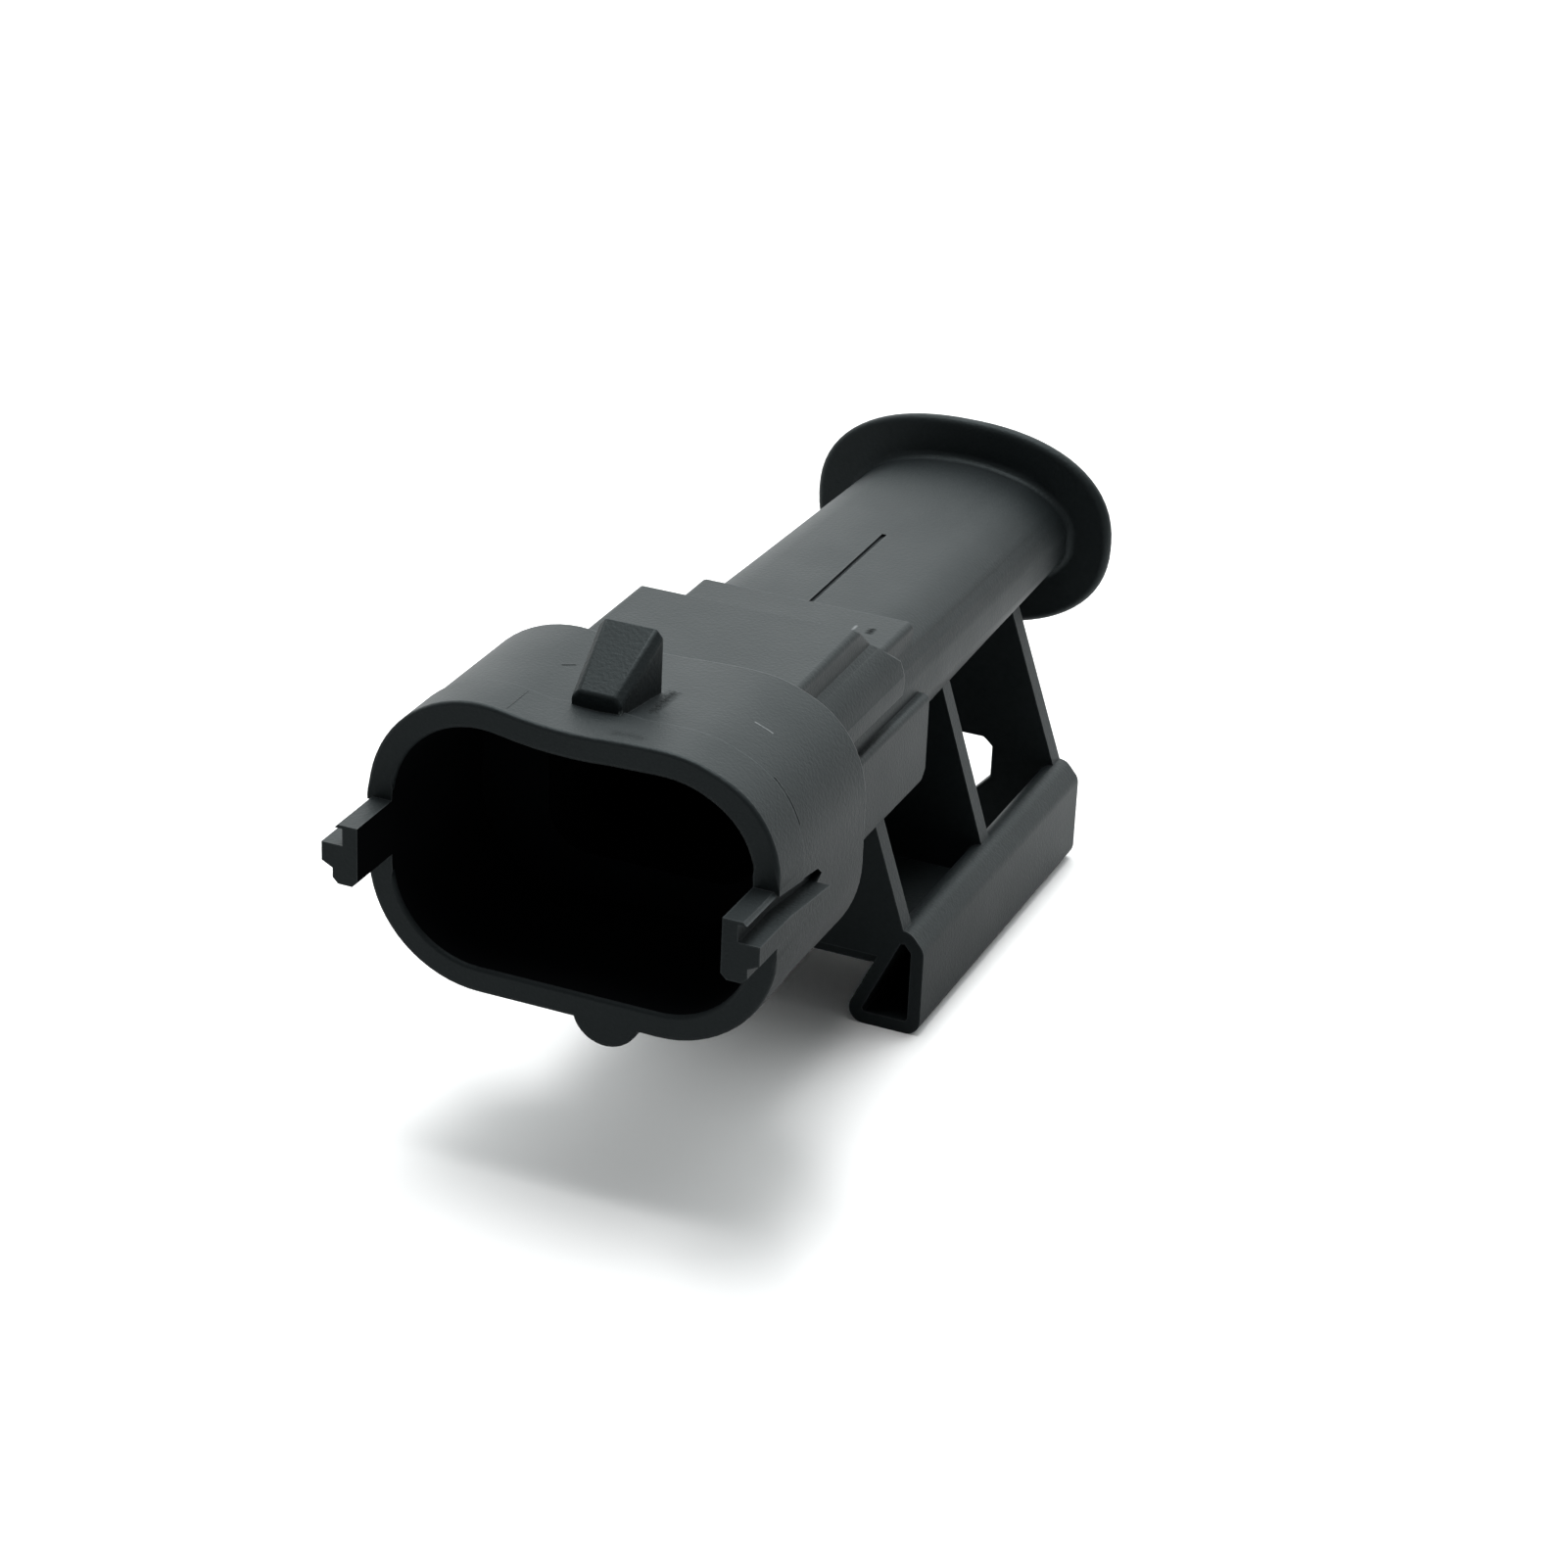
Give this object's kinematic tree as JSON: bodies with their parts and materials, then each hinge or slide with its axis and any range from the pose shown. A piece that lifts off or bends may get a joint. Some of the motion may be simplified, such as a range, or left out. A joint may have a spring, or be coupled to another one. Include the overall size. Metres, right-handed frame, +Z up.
{
  "type": "sealed automotive connector",
  "caption": "Sealed inline connector half with a keyed oval shroud, latch ramp, blade terminals, wire seals and a ribbed slide-on bracket.",
  "frame": {"origin": "centre of the mouth, in the plane of its rim", "axes": "+Y from the mouth to the wire end, +X to the right seen from the mouth, +Z up"},
  "size_m": [0.0252, 0.061, 0.0314],
  "materials": {
    "housing_plastic": "fine moulded grain, satin",
    "tinned_contact": "bright tin plating",
    "sleeve_steel": "plain stamped spring steel",
    "seal_rubber": "smooth silicone, satin"
  },
  "bodies": {
    "root": {"housing": "housing_plastic", "contact_left": "tinned_contact", "contact_right": "tinned_contact", "sleeve_left": "sleeve_steel", "sleeve_right": "sleeve_steel", "seal_left": "seal_rubber", "seal_right": "seal_rubber"}
  },
  "joints": []
}
